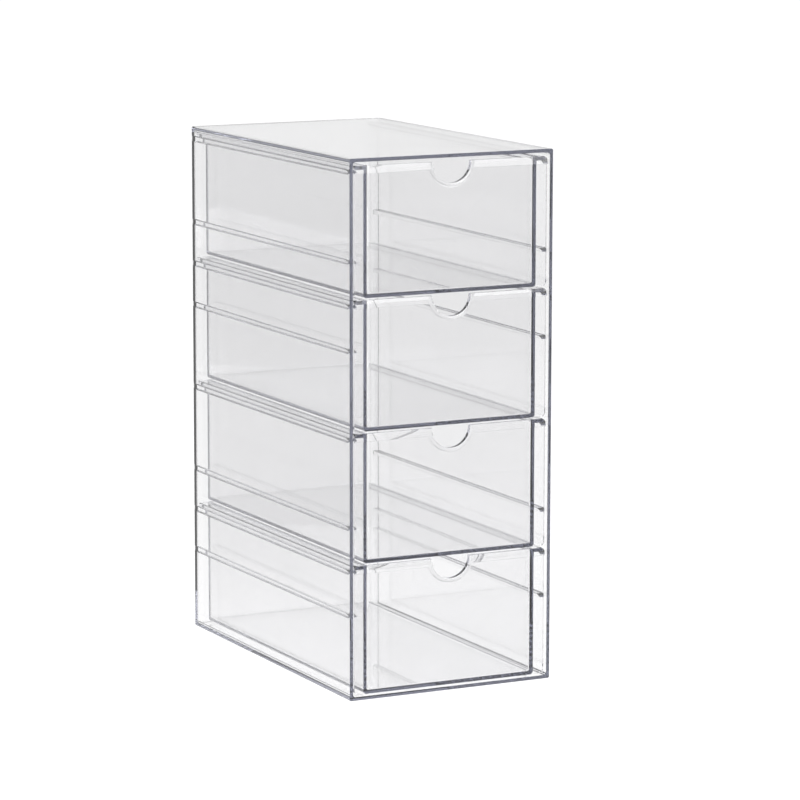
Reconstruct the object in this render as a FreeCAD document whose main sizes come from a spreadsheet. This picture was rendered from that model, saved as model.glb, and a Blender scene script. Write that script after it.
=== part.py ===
"""Tower of four clear make-up drawers, as a parametric FreeCAD document.

The object is five injection-moulded pieces and nothing else: an open-fronted casing with
pairs of rails along the inside of its side walls, and four drawers that hang on those rails
by a flange along the top of each side.

Frame: millimetres, +Z up, the front faces -Y. The origin is at the middle of the casing's
width and depth, at the level of its underside. Each body is drawn with Y counted from the
plane of the front rim, and its Placement moves it back to the origin.
"""
import FreeCAD, Part
import math
import os
import re

import Sketcher
from FreeCAD import Vector

# Driving dimensions in millimetres: alias in the sheet, value, what it measures.
SIZES = (
    ("overall_width", 127.0, "casing, side to side at the front rim"),
    ("overall_depth", 215.0, "casing, front rim to back"),
    ("overall_height", 304.0, "casing, underside to top at the front rim"),
    ("shell_wall", 2.0, "casing's sides, top, bottom and back"),
    ("shell_draft", 0.75, "how far the sides and the top lean inwards from front to back"),
    ("shell_corner_radius", 1.0, "casing's four long outer edges"),
    ("shell_inner_radius", 1.8, "casing's four long inner edges"),
    ("shell_back_radius", 0.8, "outer edges around the casing's back"),
    ("shell_rim_radius", 0.1, "edges of the front rim"),
    ("rail_thickness", 1.8, "rail, top to underside at its front end"),
    ("rail_draft", 0.8, "how much thicker a rail is at the back"),
    ("rail_setback", 3.4, "front rim to the front end of a rail"),
    ("rail_lead_length", 3.0, "ramp on the front end of a rail, its length"),
    ("rail_lead_drop", 0.8, "ramp on the front end of a rail, its height"),
    ("rail_root_radius", 0.7, "hollow rounding where a rail grows out of the side"),
    ("rail_tip_radius", 0.45, "long edges of a rail's free side"),
    ("side_gap", 7.5, "between a drawer's side and the casing's side at the front"),
    ("rail_gap", 4.1, "air between a rail and the side of a drawer"),
    ("panel_gap", 1.35, "air between a front panel's edge and the casing's side"),
    ("flange_gap", 1.05, "air between a flange and the casing's side at the back"),
    ("slide_gap", 0.1, "air between a flange and the rail it hangs on"),
    ("floor_gap", 1.0, "air between the lowest drawer and the casing's bottom"),
    ("drawer_gap", 1.3, "air between one drawer and the next"),
    ("top_gap", 1.55, "air between the highest drawer and the casing's top at the back"),
    ("back_gap", 0.8, "air between a drawer and the casing's back wall"),
    ("drawer_setback", 1.0, "casing's rim to a drawer's front panel"),
    ("drawer_wall", 2.1, "the drawer's four walls"),
    ("drawer_floor", 1.7, "the drawer's floor"),
    ("panel_corner_radius", 2.2, "four corners of the front panel, seen from the front"),
    ("drawer_corner_radius", 2.0, "drawer's two upright outer edges at the back"),
    ("drawer_foot_radius", 1.5, "outer edges around the drawer's underside, save the front's"),
    ("drawer_inner_radius", 1.2, "drawer's four upright inner edges"),
    ("drawer_floor_radius", 0.8, "inner edges around the drawer's floor"),
    ("flange_thickness", 2.4, "flange that hangs on the rail"),
    ("flange_setback", 1.0, "back end of a flange, in from the drawer's back"),
    ("flange_tip_radius", 0.7, "long outer edges of a flange"),
    ("notch_radius", 12.0, "half-round finger notch in the top edge of the front"),
    ("lip_height", 4.4, "lip along the top edge of the front"),
    ("lip_foot_proud", 0.75, "how far the lip stands out of the panel at its foot"),
    ("lip_edge_proud", 0.15, "how far the lip stands out of the panel at the top edge"),
    ("lip_face_radius", 35.0, "slight curve of the lip's leaning face"),
    ("bead_width", 2.6, "bead around the finger notch"),
    ("bead_foot_proud", 0.0, "how far the bead stands out of the panel at its foot"),
    ("bead_edge_proud", 0.15, "how far the bead stands out of the panel at the notch"),
    ("bead_face_radius", 2.0, "strong curve of the bead's face"),
)

DRAWER_COUNT = 4
# Levels of the rails, counted down from the top one in thirds of the pitch of the drawers.
# The casing also takes drawers two thirds as high, so some of its rails carry nothing here.
RAIL_STEPS = (0, 2, 3, 4, 6, 8, 9, 10)
STEPS_PER_DRAWER = 3

MERGE = 0.3  # how deep one feature of a moulding runs into another, so that they join
NEAR = 0.001  # how close a vertex must be to a plane to count as lying on it

SHEET = "sizes"
ALIASES = re.compile(r"\b(" + "|".join(row[0] for row in SIZES) + r")\b")

# Sketcher's numbers for the ends of an edge, for the origin and for the two axes.
START, END, CENTRE = range(1, 4)
ORIGIN = (-1, 1)
AXIS_OF = {"DistanceX": -2, "DistanceY": -1}

# What several features share, each as a formula on the sheet's aliases.
SHELL_INSIDE = "(overall_width / 2 - shell_wall)"
DRAWER_SIDE = f"({SHELL_INSIDE} - side_gap)"
RAIL_TIP = f"({DRAWER_SIDE} + rail_gap)"
DRAWER_BACK = "(overall_depth - shell_wall - back_gap)"
DRAWER_BASE = "(shell_wall + floor_gap)"
DRAWER_PITCH = ("((overall_height - 2 * shell_wall - shell_draft - floor_gap - top_gap"
                f" + drawer_gap) / {DRAWER_COUNT})")
DRAWER_HEIGHT = f"({DRAWER_PITCH} - drawer_gap)"
PANEL_SIDE = f"({SHELL_INSIDE} - panel_gap)"
PANEL_BACK = "(drawer_setback + drawer_wall)"
FLANGE_TIP = f"({SHELL_INSIDE} - shell_draft - flange_gap)"
FLANGE_LEVEL = f"({DRAWER_HEIGHT} - flange_thickness)"


# ---------------------------------------------------------------------------------------
# The sheet and the expressions that read it
# ---------------------------------------------------------------------------------------
def make_sheet(doc):
    """Write the driving dimensions into a sheet, one aliased cell each."""
    sheet = doc.addObject("Spreadsheet::Sheet", SHEET)
    for row, (alias, value, meaning) in enumerate(SIZES, start=1):
        sheet.set(f"A{row}", alias)
        sheet.set(f"B{row}", str(value))
        sheet.set(f"C{row}", meaning)
        sheet.setAlias(f"B{row}", alias)
    doc.recompute()
    return sheet


def cells(formula):
    """Return the formula with every alias in it read from the sheet."""
    return ALIASES.sub(rf"<<{SHEET}>>.\1", formula)


def value(item, formula):
    """Return what a formula comes to now, for a first guess or for finding an edge."""
    return float(item.Document.getObject(SHEET).evalExpression(cells(formula)))


def bind(item, name, formula):
    """Tie one property of an object to a formula on the sheet."""
    item.setExpression(name, cells(formula))


# ---------------------------------------------------------------------------------------
# Sketches
# ---------------------------------------------------------------------------------------
def add_sketch(body, name, plane, offset="0"):
    """Attach a sketch to one of the body's own planes, at an offset along its normal."""
    sketch = body.newObject("Sketcher::SketchObject", name)
    sketch.AttachmentSupport = [(origin_plane(body, plane), "")]
    sketch.MapMode = "FlatFace"
    bind(sketch, ".AttachmentOffset.Base.z", offset)
    return sketch


def origin_plane(body, role):
    """Return the body's origin plane with this role, such as XY_Plane."""
    return next(item for item in body.Origin.OriginFeatures if item.Role == role)


def dimension(sketch, kind, first, second, formula):
    """Set a distance between two points, or along a sketch axis from the origin."""
    guess = value(sketch, formula)
    if abs(guess) < NEAR:
        sketch.addConstraint(Sketcher.Constraint("PointOnObject", *second, AXIS_OF[kind]))
        return
    if guess < 0:
        first, second, formula, guess = second, first, f"-({formula})", -guess
    index = sketch.addConstraint(Sketcher.Constraint(kind, *first, *second, guess))
    bind(sketch, f"Constraints[{index}]", formula)


def place(sketch, point, across, up):
    """Fix a sketch point at two formulas, measured from the sketch's origin."""
    dimension(sketch, "DistanceX", ORIGIN, point, across)
    dimension(sketch, "DistanceY", ORIGIN, point, up)


def set_radius(sketch, curve, formula):
    """Set the radius of a circle or an arc."""
    index = sketch.addConstraint(Sketcher.Constraint("Radius", curve, value(sketch, formula)))
    bind(sketch, f"Constraints[{index}]", formula)


def draw_polygon(sketch, corners):
    """Draw a closed polygon through corners given as pairs of formulas."""
    guesses = [Vector(value(sketch, across), value(sketch, up), 0) for across, up in corners]
    ends = guesses[1:] + guesses[:1]
    sides = [sketch.addGeometry(Part.LineSegment(*pair)) for pair in zip(guesses, ends)]
    for side, following in zip(sides, sides[1:] + sides[:1]):
        sketch.addConstraint(Sketcher.Constraint("Coincident", side, END, following, START))
    for side, (across, up) in zip(sides, corners):
        place(sketch, (side, START), across, up)


def draw_rounded_rectangle(sketch, left, right, bottom, top, radius):
    """Draw a rectangle with four equal round corners, all of it given as formulas."""
    low_x, high_x, low_y, high_y, reach = (
        value(sketch, formula) for formula in (left, right, bottom, top, radius)
    )
    centres = (
        Vector(low_x + reach, low_y + reach, 0),
        Vector(high_x - reach, low_y + reach, 0),
        Vector(high_x - reach, high_y - reach, 0),
        Vector(low_x + reach, high_y - reach, 0),
    )
    arcs = []
    for turn, centre in enumerate(centres):
        begin = math.pi + turn * math.pi / 2
        circle = Part.Circle(centre, Vector(0, 0, 1), reach)
        arcs.append(sketch.addGeometry(Part.ArcOfCircle(circle, begin, begin + math.pi / 2)))
    for turn, arc in enumerate(arcs):
        following = arcs[(turn + 1) % 4]
        begin = sketch.getPoint(arc, END)
        end = sketch.getPoint(following, START)
        side = sketch.addGeometry(Part.LineSegment(begin, end))
        direction = "Horizontal" if turn % 2 == 0 else "Vertical"
        sketch.addConstraint(Sketcher.Constraint("Tangent", arc, END, side, START))
        sketch.addConstraint(Sketcher.Constraint("Tangent", side, END, following, START))
        sketch.addConstraint(Sketcher.Constraint(direction, side))
    for arc in arcs[1:]:
        sketch.addConstraint(Sketcher.Constraint("Equal", arcs[0], arc))
    set_radius(sketch, arcs[0], radius)
    place(sketch, (arcs[0], CENTRE), f"{left} + {radius}", f"{bottom} + {radius}")
    place(sketch, (arcs[2], CENTRE), f"{right} - {radius}", f"{top} - {radius}")


def draw_lip(sketch, name, low, high):
    """Draw the section of the lip or the bead: a curved face on a strip that joins the panel."""
    face = "drawer_setback"
    foot = f"({face} - {name}_foot_proud)"
    edge = f"({face} - {name}_edge_proud)"
    radius = f"{name}_face_radius"
    inside = f"({face} + {MERGE})"
    foot_point = Vector(value(sketch, foot), value(sketch, low), 0)
    edge_point = Vector(value(sketch, edge), value(sketch, high), 0)
    reach = value(sketch, radius)
    chord = edge_point - foot_point
    across = Vector(chord.y, -chord.x, 0).normalize()
    rise = math.sqrt(reach ** 2 - (chord.Length / 2) ** 2)
    middle = (foot_point + edge_point) / 2 + across * rise
    circle = Part.Circle(middle, Vector(0, 0, 1), reach)
    begin, end = (
        math.pi - math.atan2(point.y - middle.y, middle.x - point.x)
        for point in (edge_point, foot_point)
    )
    arc = sketch.addGeometry(Part.ArcOfCircle(circle, begin, end))
    corners = (
        foot_point,
        Vector(value(sketch, inside), foot_point.y, 0),
        Vector(value(sketch, inside), edge_point.y, 0),
        edge_point,
    )
    under, back, over = (
        sketch.addGeometry(Part.LineSegment(*pair)) for pair in zip(corners, corners[1:])
    )
    for side, following in ((arc, under), (under, back), (back, over), (over, arc)):
        sketch.addConstraint(Sketcher.Constraint("Coincident", side, END, following, START))
    place(sketch, (arc, START), edge, high)
    place(sketch, (arc, END), foot, low)
    place(sketch, (back, START), inside, low)
    place(sketch, (back, END), inside, high)
    set_radius(sketch, arc, radius)


# ---------------------------------------------------------------------------------------
# Features
# ---------------------------------------------------------------------------------------
def add_body(doc, label):
    """Start a sub-part's body, labelled with its node's name, with Y from the front rim."""
    body = doc.addObject("PartDesign::Body", label)
    body.Label = label
    bind(body, ".Placement.Base.y", "-overall_depth / 2")
    return body


def add_extrusion(body, kind, name, sketch, length, reverse=False):
    """Pad or pocket a sketch over a length."""
    feature = body.newObject(f"PartDesign::{kind}", name)
    feature.Profile = sketch
    bind(feature, "Length", length)
    feature.Reversed = reverse
    body.Document.recompute()
    return feature


def add_wedge(body, kind, name, depth, inset):
    """Add or cut a block whose sides and top lean inwards from front to back, bottom level."""
    wedge = body.newObject(f"PartDesign::{kind}", name)
    lean = f"shell_draft * {depth} / overall_depth"
    half = f"overall_width / 2 - {inset}"
    limits = {
        "Xmin": f"-({half})",
        "Xmax": half,
        "X2min": f"-({half} - {lean})",
        "X2max": f"{half} - {lean}",
        "Ymin": "0",
        "Ymax": depth,
        "Zmin": inset,
        "Zmax": f"overall_height - {inset}",
        "Z2min": inset,
        "Z2max": f"overall_height - {inset} - {lean}",
    }
    for limit, formula in limits.items():
        bind(wedge, limit, formula)
    body.Document.recompute()
    return wedge


def add_mirror(body, name, features):
    """Repeat features on the other side of the plane that halves the object's width."""
    mirror = body.newObject("PartDesign::Mirrored", name)
    mirror.Originals = list(features)
    mirror.MirrorPlane = (origin_plane(body, "YZ_Plane"), [""])
    body.Tip = mirror
    body.Document.recompute()
    return mirror


def add_fillet(body, name, radius, chosen):
    """Round the edges of the body's last feature that a test picks out."""
    base = body.Tip
    edges = [f"Edge{n}" for n, edge in enumerate(base.Shape.Edges, start=1) if chosen(edge)]
    fillet = body.newObject("PartDesign::Fillet", name)
    fillet.Base = (base, edges)
    bind(fillet, "Radius", radius)
    body.Document.recompute()
    return fillet


def lies_at(edge, axis, *levels):
    """Say whether an edge's ends both lie on planes where one coordinate has such a value."""
    return all(
        any(abs(vertex.Point[axis] - level) < NEAR for level in levels)
        for vertex in edge.Vertexes
    )


def runs_back(edge):
    """Say whether an edge's ends lie at different depths behind the front rim."""
    depths = [vertex.Point.y for vertex in edge.Vertexes]
    return max(depths) - min(depths) > NEAR


def runs_along(edge, axis):
    """Say whether an edge's ends differ in one coordinate and in no other."""
    span = edge.Vertexes[-1].Point - edge.Vertexes[0].Point
    return all((abs(span[other]) > NEAR) == (other == axis) for other in range(3))


# ---------------------------------------------------------------------------------------
# The casing
# ---------------------------------------------------------------------------------------
def make_casing(doc):
    """Make the casing: a drafted shell open at the front, with rails up both sides."""
    casing = add_body(doc, "casing")
    inside = "(overall_depth - shell_wall)"
    back_level = value(casing, "overall_depth")
    inside_level = value(casing, inside)
    add_wedge(casing, "AdditiveWedge", "shell", "overall_depth", "0")
    add_fillet(casing, "long_edges", "shell_corner_radius", runs_back)
    add_fillet(casing, "back_edges", "shell_back_radius",
               lambda edge: lies_at(edge, 1, back_level))
    add_wedge(casing, "SubtractiveWedge", "shell_hollow", inside, "shell_wall")
    add_fillet(casing, "hollow_edges", "shell_inner_radius",
               lambda edge: lies_at(edge, 1, 0, inside_level) and not lies_at(edge, 1, 0))
    add_fillet(casing, "rim_edges", "shell_rim_radius", lambda edge: lies_at(edge, 1, 0))
    rails = [make_rail(casing, step) for step in RAIL_STEPS]
    add_mirror(casing, "rails_other_side", rails)
    round_rails(casing)
    return casing


def round_rails(casing):
    """Round the long edges of the rails, where they meet the sides and where they end."""
    half = value(casing, SHELL_INSIDE)
    lean = value(casing, "shell_draft / overall_depth")
    front = value(casing, "rail_setback")
    tip = value(casing, RAIL_TIP)

    def is_root(edge):
        """Say whether an edge lies on a side, no further forward than the rails, and runs back."""
        points = [vertex.Point for vertex in edge.Vertexes]
        on_side = all(abs(abs(point.x) - half + lean * point.y) < NEAR for point in points)
        return on_side and runs_back(edge) and min(point.y for point in points) > front - NEAR

    add_fillet(casing, "rail_tips", "rail_tip_radius",
               lambda edge: lies_at(edge, 0, tip, -tip) and runs_back(edge))
    add_fillet(casing, "rail_roots", "rail_root_radius", is_root)


def make_rail(casing, step):
    """Make one rail of the left side: level on top, thicker towards the back."""
    level = (f"({DRAWER_BASE} + {FLANGE_LEVEL} - slide_gap"
             f" + ({DRAWER_COUNT - 1} - {step} / {STEPS_PER_DRAWER}) * {DRAWER_PITCH})")
    root = f"({SHELL_INSIDE} + {MERGE})"
    back = f"(overall_depth - shell_wall + {MERGE})"
    side_view = add_sketch(casing, f"rail_side_{step}", "YZ_Plane", f"-{root}")
    draw_polygon(side_view, (
        ("rail_setback", f"{level} - rail_thickness"),
        (back, f"{level} - rail_thickness - rail_draft"),
        (back, level),
        ("rail_setback + rail_lead_length", level),
        ("rail_setback", f"{level} - rail_lead_drop"),
    ))
    return add_extrusion(casing, "Pad", f"rail_{step}", side_view, f"{root} - {RAIL_TIP}")


# ---------------------------------------------------------------------------------------
# The drawers
# ---------------------------------------------------------------------------------------
def make_drawer(doc, number):
    """Make one drawer, counted from the top, where it lies when it is shut."""
    drawer = add_body(doc, f"drawer_{number}")
    make_tray(drawer)
    make_front_panel(drawer)
    make_flanges(drawer)
    make_notch(drawer)
    bind(drawer, ".Placement.Base.z",
         f"{DRAWER_BASE} + {DRAWER_COUNT - number} * {DRAWER_PITCH}")
    return drawer


def make_tray(drawer):
    """Make the open box: a block with round edges, hollowed out from above."""
    front, back, side = "drawer_setback", DRAWER_BACK, DRAWER_SIDE
    plan = add_sketch(drawer, "tray_plan", "XY_Plane")
    draw_polygon(plan, ((f"-{side}", front), (side, front), (side, back), (f"-{side}", back)))
    add_extrusion(drawer, "Pad", "tray", plan, DRAWER_HEIGHT)
    back_level = value(drawer, back)
    front_level = value(drawer, front)
    add_fillet(drawer, "corner_edges", "drawer_corner_radius",
               lambda edge: lies_at(edge, 1, back_level) and runs_along(edge, 2))
    add_fillet(drawer, "foot_edges", "drawer_foot_radius",
               lambda edge: lies_at(edge, 2, 0) and not lies_at(edge, 1, front_level))
    inside = f"({side} - drawer_wall)"
    hollow = add_sketch(drawer, "hollow_plan", "XY_Plane", DRAWER_HEIGHT)
    draw_rounded_rectangle(hollow, f"-{inside}", inside, PANEL_BACK,
                           f"{back} - drawer_wall", "drawer_inner_radius")
    add_extrusion(drawer, "Pocket", "hollow", hollow, f"{DRAWER_HEIGHT} - drawer_floor")
    floor = value(drawer, "drawer_floor")
    add_fillet(drawer, "floor_edges", "drawer_floor_radius",
               lambda edge: lies_at(edge, 2, floor))


def make_front_panel(drawer):
    """Make the front panel, wider than the box, with its lip and the bead around the notch."""
    side, top = PANEL_SIDE, DRAWER_HEIGHT
    outline = add_sketch(drawer, "panel_outline", "XZ_Plane", "-drawer_setback")
    draw_polygon(outline, ((f"-{side}", "0"), (side, "0"), (side, top), (f"-{side}", top)))
    add_extrusion(drawer, "Pad", "panel", outline, "drawer_wall", reverse=True)
    straight = add_sketch(drawer, "lip_section", "YZ_Plane")
    draw_lip(straight, "lip", f"({top} - lip_height)", top)
    lip = add_extrusion(drawer, "Pad", "lip", straight, f"2 * {side}")
    lip.Midplane = True
    drawer.Document.recompute()
    side_level = value(drawer, side)
    top_level = value(drawer, top)
    add_fillet(drawer, "panel_corners", "panel_corner_radius",
               lambda edge: (lies_at(edge, 0, -side_level, side_level)
                             and lies_at(edge, 2, 0, top_level) and runs_along(edge, 1)))
    ring = add_sketch(drawer, "bead_section", "YZ_Plane")
    bottom = f"({top} - notch_radius)"
    draw_lip(ring, "bead", f"({bottom} - bead_width)", f"({bottom} + {MERGE})")
    reach = value(ring, "notch_radius")
    line = Part.LineSegment(Vector(0, top_level, 0), Vector(reach, top_level, 0))
    axis = ring.addGeometry(line, True)
    place(ring, (axis, START), "0", top)
    place(ring, (axis, END), "notch_radius", top)
    around = drawer.newObject("PartDesign::Revolution", "bead")
    around.Profile = ring
    around.ReferenceAxis = (ring, ["Axis0"])
    around.Angle = 180
    around.Midplane = True
    drawer.Document.recompute()


def make_flanges(drawer):
    """Make the flange along the top of each side, which hangs on a pair of rails."""
    plan = add_sketch(drawer, "flange_plan", "XY_Plane", FLANGE_LEVEL)
    root = f"({DRAWER_SIDE} - drawer_wall / 2)"
    front = PANEL_BACK
    back = f"({DRAWER_BACK} - flange_setback)"
    draw_polygon(plan, ((root, front), (FLANGE_TIP, front), (FLANGE_TIP, back), (root, back)))
    flange = add_extrusion(drawer, "Pad", "flange", plan, "flange_thickness")
    add_mirror(drawer, "flange_other_side", (flange,))
    tip = value(drawer, FLANGE_TIP)
    add_fillet(drawer, "flange_tips", "flange_tip_radius",
               lambda edge: lies_at(edge, 0, tip, -tip) and runs_along(edge, 1))


def make_notch(drawer):
    """Cut the half-round finger notch through the front panel, its lip and its bead."""
    outline = add_sketch(drawer, "notch_outline", "XZ_Plane")
    reach = value(outline, "notch_radius")
    centre = Vector(0, value(outline, DRAWER_HEIGHT), 0)
    circle = outline.addGeometry(Part.Circle(centre, Vector(0, 0, 1), reach))
    place(outline, (circle, CENTRE), "0", DRAWER_HEIGHT)
    set_radius(outline, circle, "notch_radius")
    add_extrusion(drawer, "Pocket", "notch", outline, "drawer_setback + 2 * drawer_wall")


# ---------------------------------------------------------------------------------------
# Checks and files
# ---------------------------------------------------------------------------------------
def check(doc, bodies):
    """Stop if any object failed, or if a sub-part isn't one valid solid."""
    failed = [item.Label for item in doc.Objects if {"Invalid", "Error"} & set(item.State)]
    if failed:
        raise RuntimeError(f"these objects failed: {', '.join(failed)}")
    for body in bodies:
        shape = body.Shape
        if shape.isNull() or not shape.isValid() or len(shape.Solids) != 1:
            raise RuntimeError(f"{body.Label} isn't one valid solid")


def main():
    """Build the document, check it and write each sub-part's STEP file."""
    doc = FreeCAD.newDocument("drawer_tower")
    make_sheet(doc)
    bodies = [make_casing(doc)]
    bodies += [make_drawer(doc, number) for number in range(1, DRAWER_COUNT + 1)]
    doc.recompute()
    check(doc, bodies)
    os.makedirs("parts", exist_ok=True)
    for body in bodies:
        body.Shape.exportStep(f"parts/{body.Label}.step")
        print(f"{body.Label}: {body.Shape.Volume / 1000:.1f} cm3, {body.Shape.BoundBox}")


main()
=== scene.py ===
"""The tower of four clear make-up drawers, dressed for rendering.

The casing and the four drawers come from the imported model, already in the right shape. This
script gives each one its clear plastic, and sets up the floor, the studio and the camera.

Frame: metres, +Z up, the open front faces -Y, with the origin under the middle of the casing.
"""

import logging
import math
from dataclasses import dataclass
from enum import Enum
from typing import Mapping, Sequence, Union

import bmesh
import bpy
from mathutils import Matrix, Vector

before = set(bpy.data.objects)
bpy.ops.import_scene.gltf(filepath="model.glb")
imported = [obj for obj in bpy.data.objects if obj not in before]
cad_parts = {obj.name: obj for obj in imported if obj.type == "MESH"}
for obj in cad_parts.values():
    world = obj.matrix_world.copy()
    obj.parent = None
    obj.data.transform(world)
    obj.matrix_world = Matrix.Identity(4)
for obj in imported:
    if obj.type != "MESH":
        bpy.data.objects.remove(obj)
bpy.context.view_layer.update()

LOG = logging.getLogger("drawer_tower")

DRAWER_COUNT = 4
FULL = 1.0
OPAQUE = 1.0
BLACK = (0.0, 0.0, 0.0, OPAQUE)

# The Mix node's sockets when it mixes colours.
MIX_SHARE, MIX_FIRST, MIX_SECOND = 0, 6, 7
MIX_RESULT = 2

Colour = tuple[float, float, float]
Place = tuple[float, float, float]
Value = Union[float, Sequence[float], "Signal"]


# ---------------------------------------------------------------------------------------
# Shader maths
# ---------------------------------------------------------------------------------------
class Operation(Enum):
    """The Math node's operations that are used here."""

    ADD = "ADD"
    SUBTRACT = "SUBTRACT"
    MULTIPLY = "MULTIPLY"
    DIVIDE = "DIVIDE"
    MINIMUM = "MINIMUM"
    MAXIMUM = "MAXIMUM"


class Signal:
    """A node's output, on which arithmetic adds Math nodes."""

    def __init__(self, graph: "Graph", socket: bpy.types.NodeSocket | None) -> None:
        """Wrap one output socket.

        Args:
            graph: the node tree that the socket belongs to.
            socket: the output socket, or None on a node that ends the tree.
        """
        self.graph = graph
        self.socket = socket

    def _math(self, operation: Operation, first: Value, second: Value) -> "Signal":
        """Add a Math node.

        Args:
            operation: what the node does.
            first: its first value or link.
            second: its second value or link.

        Returns:
            The node's result.
        """
        return self.graph.add("ShaderNodeMath", {"operation": operation.value},
                              {0: first, 1: second})

    def __add__(self, other: Value) -> "Signal":
        """Return self + other."""
        return self._math(Operation.ADD, self, other)

    def __radd__(self, other: Value) -> "Signal":
        """Return other + self."""
        return self._math(Operation.ADD, other, self)

    def __sub__(self, other: Value) -> "Signal":
        """Return self - other."""
        return self._math(Operation.SUBTRACT, self, other)

    def __rsub__(self, other: Value) -> "Signal":
        """Return other - self."""
        return self._math(Operation.SUBTRACT, other, self)

    def __mul__(self, other: Value) -> "Signal":
        """Return self * other."""
        return self._math(Operation.MULTIPLY, self, other)

    def __rmul__(self, other: Value) -> "Signal":
        """Return other * self."""
        return self._math(Operation.MULTIPLY, other, self)

    def __truediv__(self, other: Value) -> "Signal":
        """Return self / other."""
        return self._math(Operation.DIVIDE, self, other)

    def __rtruediv__(self, other: Value) -> "Signal":
        """Return other / self."""
        return self._math(Operation.DIVIDE, other, self)

    def at_most(self, other: Value) -> "Signal":
        """Return the smaller of self and other."""
        return self._math(Operation.MINIMUM, self, other)

    def at_least(self, other: Value) -> "Signal":
        """Return the larger of self and other."""
        return self._math(Operation.MAXIMUM, self, other)

    def share(self, start: float, end: float) -> "Signal":
        """Say how far the value has come on its way between two others.

        Args:
            start: where the share is 0.
            end: where the share is 1.

        Returns:
            The share, from 0 to 1.
        """
        return ((self - start) / (end - start)).at_least(0.0).at_most(1.0)


class Graph:
    """A node tree that is filled through one method."""

    def __init__(self, tree: bpy.types.NodeTree) -> None:
        """Take over a node tree and empty it.

        Args:
            tree: the node tree of a material or of the world.
        """
        self.tree = tree
        tree.nodes.clear()

    def add(self, kind: str, settings: Mapping[str, object] | None = None,
            sockets: Mapping[str | int, Value] | None = None,
            output: str | int = 0) -> Signal:
        """Add a node.

        Args:
            kind: the node's type, such as ShaderNodeMath.
            settings: the node's own properties, which are set first.
            sockets: a value or a link for each input socket, by name or by number.
            output: the output socket to hand back, by name or by number.

        Returns:
            The chosen output, which is empty on a node that ends the tree.
        """
        node = self.tree.nodes.new(kind)
        for name, setting in (settings or {}).items():
            setattr(node, name, setting)
        for name, value in (sockets or {}).items():
            if isinstance(value, Signal):
                self.tree.links.new(value.socket, node.inputs[name])
            else:
                node.inputs[name].default_value = value
        return Signal(self, node.outputs[output] if node.outputs else None)

    def blend(self, share: Value, first: Value, second: Value) -> Signal:
        """Mix two colours.

        Args:
            share: the second one's share.
            first: the colour where the share is 0.
            second: the colour where the share is 1.

        Returns:
            The mixed colour.
        """
        return self.add("ShaderNodeMix", {"data_type": "RGBA"}, {
            MIX_SHARE: share,
            MIX_FIRST: self._opaque(first),
            MIX_SECOND: self._opaque(second),
        }, output=MIX_RESULT)

    @staticmethod
    def _opaque(colour: Value) -> Value:
        """Give a plain colour its alpha, and leave a link as it is."""
        return colour if isinstance(colour, Signal) else (*colour, OPAQUE)


# ---------------------------------------------------------------------------------------
# Finishes
# ---------------------------------------------------------------------------------------
@dataclass(frozen=True)
class ClearPlastic:
    """Clear polystyrene as it comes from a polished mould.

    Its faces are water-clear. Along its edges, where light runs the length of a wall, it
    turns a greyish violet. The faces carry a faint flow from the moulding and a few hairlines.
    Lengths are in metres.
    """

    name: str
    ior: float = 1.59
    face_colour: Colour = (0.943, 0.941, 0.943)
    # What the plastic takes out of light that runs inside a wall, and how soon.
    edge_colour: Colour = (0.10, 0.122, 0.26)
    edge_density: float = 8.5
    # The waves of the moulding, which are longer the way the drawers slide.
    flow_colour: Colour = (0.926, 0.926, 0.927)
    flow_size: float = 0.045
    flow_depth: float = 0.00003
    flow_shortening: float = 0.55
    flow_detail: float = 1.0
    flow_roughness: float = 0.35
    # The hairlines, which show where the grain's value is high.
    hairline_length: float = 0.030
    hairline_width: float = 0.0006
    hairline_start: float = 0.72
    hairline_full: float = 0.845
    polish: float = 0.0
    hairline_roughness: float = 0.02

    def material(self) -> bpy.types.Material:
        """Build the material.

        Returns:
            The clear plastic, ready for a node's slots.
        """
        material = bpy.data.materials.new(self.name)
        material.use_nodes = True
        graph = Graph(material.node_tree)
        place = graph.add("ShaderNodeTexCoord", output="Object")
        flow = self._flow(graph, place)
        surface = graph.add("ShaderNodeBsdfPrincipled", sockets={
            "Base Color": graph.blend(flow, self.face_colour, self.flow_colour),
            "Roughness": self._roughness(graph, place),
            "IOR": self.ior,
            "Transmission Weight": FULL,
            "Normal": graph.add("ShaderNodeBump", sockets={
                "Strength": FULL, "Distance": self.flow_depth, "Height": flow}),
        })
        inside = graph.add("ShaderNodeVolumeAbsorption", sockets={
            "Color": (*self.edge_colour, OPAQUE), "Density": self.edge_density})
        graph.add("ShaderNodeOutputMaterial", sockets={"Surface": surface, "Volume": inside})
        return material

    def _flow(self, graph: Graph, place: Signal) -> Signal:
        """Draw the slow waves that the melt leaves in a broad, thin wall.

        Args:
            graph: the material's nodes.
            place: where on the piece a point is.

        Returns:
            The waves, from 0 to 1.
        """
        stretched = graph.add("ShaderNodeMapping", sockets={
            "Vector": place, "Scale": (1.0, self.flow_shortening, 1.0)})
        return graph.add("ShaderNodeTexNoise", sockets={
            "Vector": stretched, "Scale": 1.0 / self.flow_size, "Detail": self.flow_detail,
            "Roughness": self.flow_roughness})

    def _roughness(self, graph: Graph, place: Signal) -> Signal:
        """Break the polish with a few hairlines that run the way the drawers slide.

        Args:
            graph: the material's nodes.
            place: where on the piece a point is.

        Returns:
            The roughness.
        """
        across = 1.0 / self.hairline_width
        along = 1.0 / self.hairline_length
        lines = graph.add("ShaderNodeMapping", sockets={
            "Vector": place, "Scale": (across, along, across)})
        grain = graph.add("ShaderNodeTexNoise", sockets={
            "Vector": lines, "Scale": 1.0, "Detail": 0.0})
        mask = grain.share(self.hairline_start, self.hairline_full)
        return self.polish + mask * self.hairline_roughness


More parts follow.
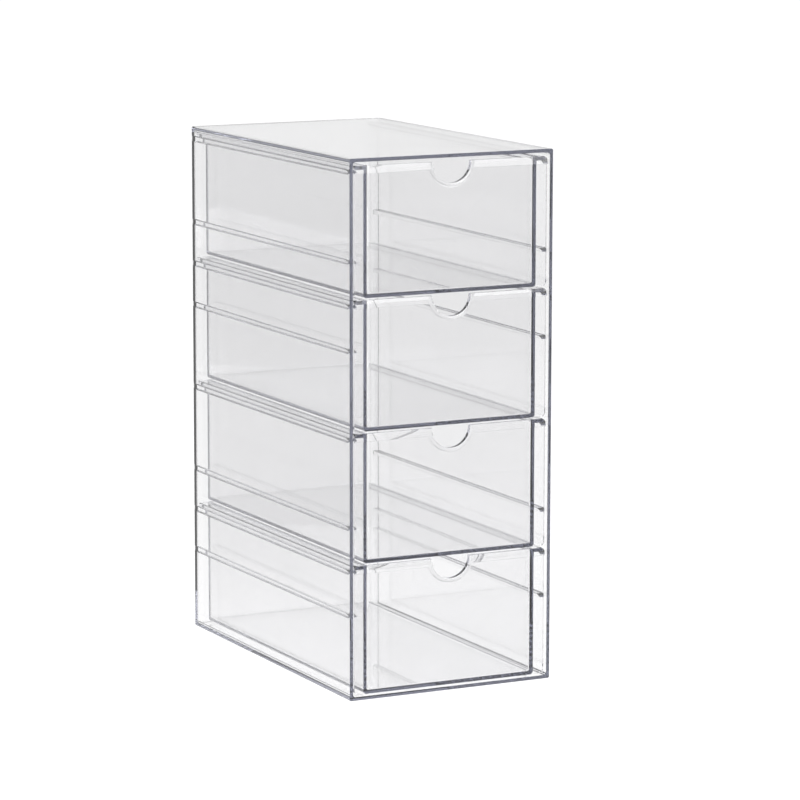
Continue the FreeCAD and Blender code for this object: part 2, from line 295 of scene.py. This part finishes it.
@dataclass(frozen=True)
class PaleFloor:
    """A white table that glows by itself, so that it has no shadow.

    A painted pool of light makes it brightest around the tower, and painted shade makes it
    dimmer in a wedge behind it, on the side that faces away from the lamps. Distances are in
    metres from the middle of the tower.
    """

    name: str = "pale_floor"
    # The painted pool of light under the tower fades into the far, even white between these two
    # distances.
    painted_pool_white: Colour = (1.20, 1.20, 1.20)
    far_white: Colour = (1.06, 1.06, 1.06)
    painted_pool_start: float = 0.15
    painted_pool_end: float = 1.6
    # The painted shade wedge: its middle line, the cosine at its two edges, and where the
    # painted shade sets in.
    painted_shade_direction: Place = (-0.707, 0.707, 0.0)
    painted_shade_edge: float = 0.66
    painted_shade_start: float = 0.1
    painted_shade_end: float = 0.45
    painted_shade_strength: float = 0.28

    def material(self) -> bpy.types.Material:
        """Build the material.

        Returns:
            The floor's white.
        """
        material = bpy.data.materials.new(self.name)
        material.use_nodes = True
        graph = Graph(material.node_tree)
        place = graph.add("ShaderNodeTexCoord", output="Object")
        distance = graph.add("ShaderNodeVectorMath", {"operation": "LENGTH"}, {0: place},
                             output="Value")
        # Painted pool of light: the floor's glow is brighter near the tower than far from it.
        white = graph.blend(distance.share(self.painted_pool_start, self.painted_pool_end),
                            self.painted_pool_white, self.far_white)
        # Painted shade: a wedge behind the tower, on the side away from the lamps, glows
        # dimmer.
        direction = graph.add("ShaderNodeVectorMath", {"operation": "NORMALIZE"}, {0: place})
        away = graph.add("ShaderNodeVectorMath", {"operation": "DOT_PRODUCT"},
                         {0: direction, 1: self.painted_shade_direction}, output="Value")
        wedge = away.share(self.painted_shade_edge, 1.0) * distance.share(self.painted_shade_start, self.painted_shade_end)
        # The floor glows with this painted light and painted shade; it takes no light from the
        # lamps.
        lit = graph.add("ShaderNodeVectorMath", {"operation": "SCALE"},
                        {0: white, "Scale": 1.0 - wedge * self.painted_shade_strength})
        surface = graph.add("ShaderNodeBsdfPrincipled", sockets={
            "Base Color": BLACK, "Roughness": FULL, "Specular IOR Level": 0.0,
            "Emission Color": lit, "Emission Strength": FULL})
        graph.add("ShaderNodeOutputMaterial", sockets={"Surface": surface})
        return material


CASING_PLASTIC = ClearPlastic("casing_plastic")
DRAWER_PLASTIC = ClearPlastic("drawer_plastic", edge_density=9.2)


# ---------------------------------------------------------------------------------------
# The object
# ---------------------------------------------------------------------------------------
@dataclass
class Moulding:
    """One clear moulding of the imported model, which keeps its shape and gets its finish."""

    node: str
    material: bpy.types.Material

    def dress(self) -> bpy.types.Object:
        """Give the moulding its plastic.

        Returns:
            The node's object.
        """
        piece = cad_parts[self.node]
        piece.data.materials.clear()
        piece.data.materials.append(self.material)
        return piece


# ---------------------------------------------------------------------------------------
# The studio
# ---------------------------------------------------------------------------------------
@dataclass
class Softbox:
    """A large soft lamp over the tower's front, with its sizes in metres and power in watts."""

    name: str
    place: Place
    target: Place
    width: float
    height: float
    power: float

    def build(self) -> bpy.types.Object:
        """Hang the lamp.

        Returns:
            The lamp's object.
        """
        lamp = bpy.data.lights.new(self.name, "AREA")
        lamp.shape = "RECTANGLE"
        lamp.size = self.width
        lamp.size_y = self.height
        lamp.energy = self.power
        item = bpy.data.objects.new(self.name, lamp)
        bpy.context.scene.collection.objects.link(item)
        item.location = self.place
        aim = Vector(self.target) - Vector(self.place)
        item.rotation_euler = aim.to_track_quat("-Z", "Y").to_euler()
        return item


@dataclass
class Studio:
    """The floor, the white surroundings and the lamps."""

    floor_size: float = 24.0
    floor_drop: float = 0.0002
    floor: PaleFloor = PaleFloor()
    # The surroundings' whites, and the sines of the heights where one turns into the next.
    horizon_white: Colour = (0.90, 0.90, 0.90)
    band_start: float = 0.14
    band_end: float = 0.23
    band_white: Colour = (1.16, 1.16, 1.16)
    fade_start: float = 0.32
    fade_end: float = 0.60
    overhead_white: Colour = (0.60, 0.60, 0.60)
    # Enough for all the walls that can stand behind each other.
    light_bounces: int = 40
    lamps: tuple[Softbox, ...] = (
        Softbox("front_softbox", place=(0.45, -1.0, 0.84), target=(0.0, -0.1, 0.84),
                width=1.2, height=1.0, power=9.0),
    )

    def build(self) -> None:
        """Build the floor, the surroundings and the lamps."""
        self._lay_floor()
        self._light_surroundings()
        for lamp in self.lamps:
            lamp.build()
            LOG.info("lamp %s", lamp.name)
        self._set_light_paths()

    def _lay_floor(self) -> None:
        """Lay the floor just under the tower."""
        shape = bmesh.new()
        bmesh.ops.create_grid(shape, x_segments=1, y_segments=1, size=self.floor_size / 2)
        bmesh.ops.translate(shape, vec=(0.0, 0.0, -self.floor_drop), verts=shape.verts)
        mesh = bpy.data.meshes.new("floor")
        shape.to_mesh(mesh)
        shape.free()
        mesh.materials.append(self.floor.material())
        item = bpy.data.objects.new("floor", mesh)
        bpy.context.scene.collection.objects.link(item)
        LOG.info("floor %s", item.name)

    def _light_surroundings(self) -> None:
        """Surround the tower with white walls, lit from a band above the horizon."""
        world = bpy.data.worlds.new("white_studio")
        world.use_nodes = True
        bpy.context.scene.world = world
        graph = Graph(world.node_tree)
        direction = graph.add("ShaderNodeTexCoord", output="Generated")
        height = graph.add("ShaderNodeSeparateXYZ", sockets={0: direction}, output="Z")
        walls = graph.blend(height.share(self.band_start, self.band_end),
                            self.horizon_white, self.band_white)
        white = graph.blend(height.share(self.fade_start, self.fade_end), walls,
                            self.overhead_white)
        light = graph.add("ShaderNodeBackground", sockets={"Color": white, "Strength": FULL})
        graph.add("ShaderNodeOutputWorld", sockets={"Surface": light})

    def _set_light_paths(self) -> None:
        """Let light pass through wall after wall, and show its colours as they are."""
        cycles = bpy.context.scene.cycles
        cycles.max_bounces = self.light_bounces
        cycles.transmission_bounces = self.light_bounces
        cycles.glossy_bounces = self.light_bounces
        cycles.transparent_max_bounces = self.light_bounces
        bpy.context.scene.view_settings.view_transform = "Standard"


@dataclass
class Viewpoint:
    """The camera, described by where it stands and which way it looks.

    Its place and reach are in metres, its angles in degrees, its lens and sensor in
    millimetres.
    """

    place: Place = (-1.006808, -2.032181, 0.528329)
    azimuth: float = -26.851
    elevation: float = 9.474
    roll: float = 0.082
    lens: float = 177.43
    sensor: float = 36.0
    reach: float = 100.0

    def build(self) -> bpy.types.Object:
        """Set up the camera and make it the scene's.

        Returns:
            The camera's object.
        """
        camera = bpy.data.cameras.new("camera")
        camera.sensor_width = self.sensor
        camera.lens = self.lens
        camera.clip_end = self.reach
        item = bpy.data.objects.new("camera", camera)
        bpy.context.scene.collection.objects.link(item)
        turn = math.radians(self.azimuth)
        tilt = math.radians(self.elevation)
        roll = math.radians(self.roll)
        back = Vector((math.sin(turn) * math.cos(tilt), -math.cos(turn) * math.cos(tilt),
                       math.sin(tilt)))
        right = Vector((math.cos(turn), math.sin(turn), 0.0))
        up = back.cross(right)
        across = right * math.cos(roll) + up * math.sin(roll)
        upward = up * math.cos(roll) - right * math.sin(roll)
        pose = Matrix((across, upward, back)).transposed().to_4x4()
        pose.translation = Vector(self.place)
        item.matrix_world = pose
        bpy.context.scene.camera = item
        return item


def main() -> None:
    """Build the camera and the studio, and dress the casing and the drawers."""
    logging.basicConfig(level=logging.INFO, format="%(name)s: %(message)s")
    Viewpoint().build()
    Studio().build()
    casing = CASING_PLASTIC.material()
    drawer = DRAWER_PLASTIC.material()
    mouldings = [Moulding("casing", casing)]
    mouldings += [Moulding(f"drawer_{number}", drawer)
                  for number in range(1, DRAWER_COUNT + 1)]
    for moulding in mouldings:
        piece = moulding.dress()
        LOG.info("piece %s in %s", piece.name, moulding.material.name)


if __name__ == "__main__":
    main()
